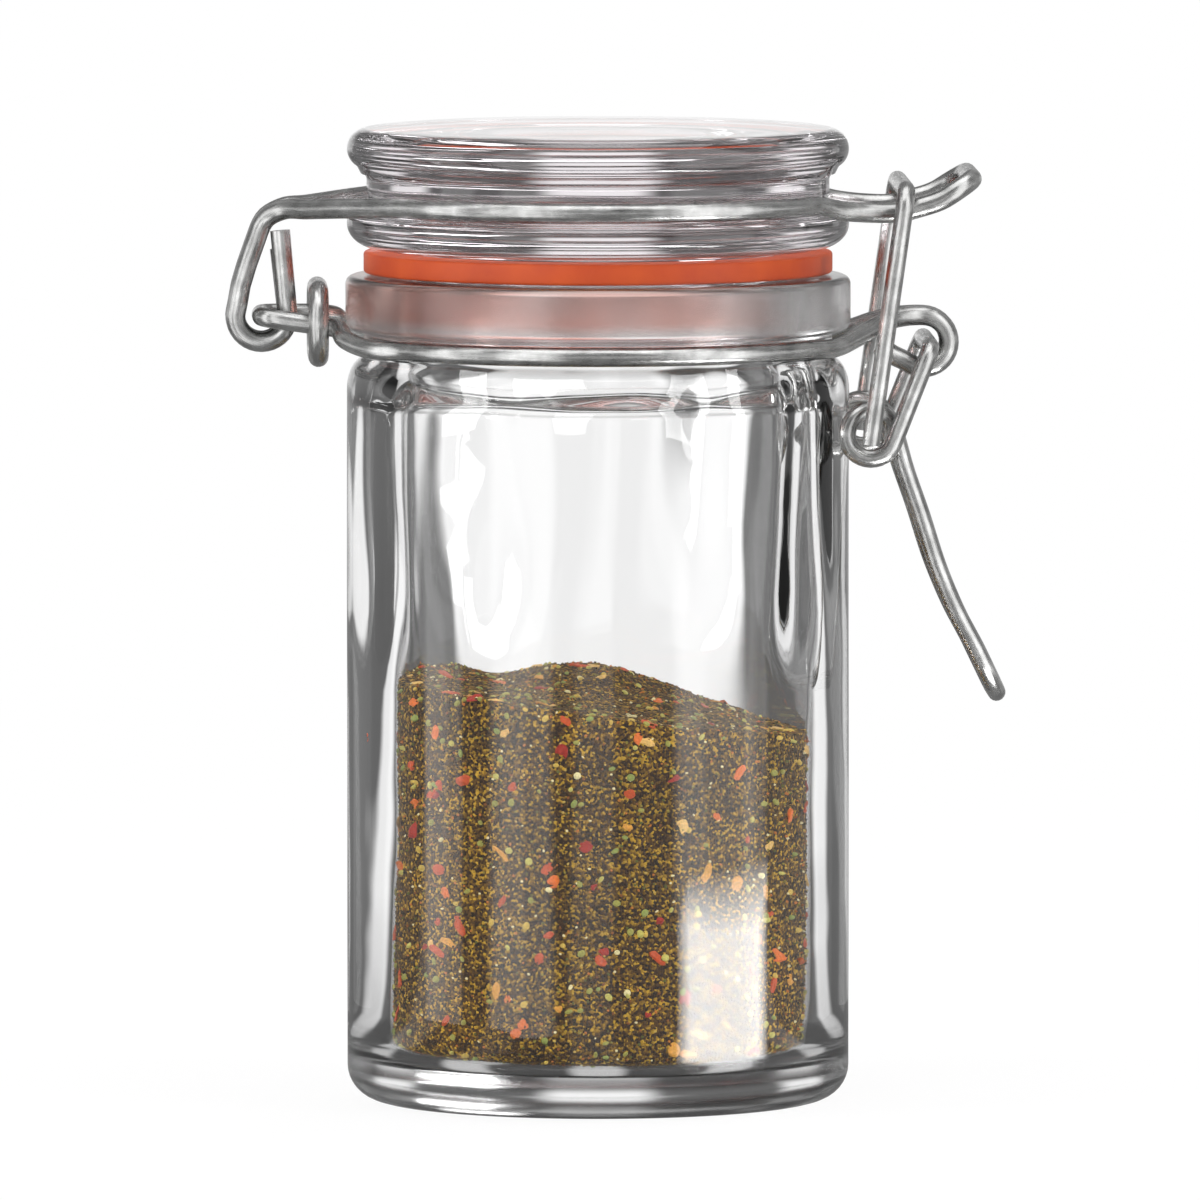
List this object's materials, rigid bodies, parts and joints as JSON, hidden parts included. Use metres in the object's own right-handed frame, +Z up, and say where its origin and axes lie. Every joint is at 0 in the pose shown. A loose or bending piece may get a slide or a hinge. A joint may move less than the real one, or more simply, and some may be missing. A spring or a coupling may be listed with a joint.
{
  "type": "clip-top preserving jar",
  "caption": "Small glass preserving jar of dried herb mix with a clip-top glass lid, orange rubber ring and wire clasp.",
  "frame": {"origin": "centre of the jar's flat base", "axes": "+Z up along the jar's axis, +X towards the wire clasp, -X towards the hinge, +Y to the back"},
  "size_m": [0.0775, 0.051, 0.0967],
  "materials": {
    "clear_glass": "clear, moulded",
    "orange_rubber": "satin",
    "zinc_wire": "bright galvanised",
    "herb_mix": "loose ground herbs and spices"
  },
  "bodies": {
    "jar": {"glass_jar": "clear_glass", "herb_filling": "herb_mix", "neck_wire": "zinc_wire", "closing_ring": "zinc_wire"},
    "lid": {"glass_lid": "clear_glass", "rubber_gasket": "orange_rubber", "lid_wire": "zinc_wire"},
    "link": {"clamp_link": "zinc_wire"},
    "lever": {"clamp_lever": "zinc_wire"}
  },
  "joints": [
    {"name": "lid_hinge", "type": "hinge", "parent": "jar", "child": "lid", "pos_m": [-0.03345, 0, 0.07815], "axis": [0, -1, 0], "range_deg": [0, 110]},
    {"name": "lever_turn", "type": "hinge", "parent": "jar", "child": "lever", "pos_m": [0.0327, 0, 0.07535], "axis": [0, -1, 0], "range_deg": [0, 75]},
    {"name": "link_swing", "type": "hinge", "parent": "lid", "child": "link", "pos_m": [0.0302, 0, 0.091], "axis": [0, -1, 0], "range_deg": [0, 33]}
  ],
  "couplings": [
    {"joint": "link_swing", "follows": "lever_turn", "ratio": 0.39}
  ]
}
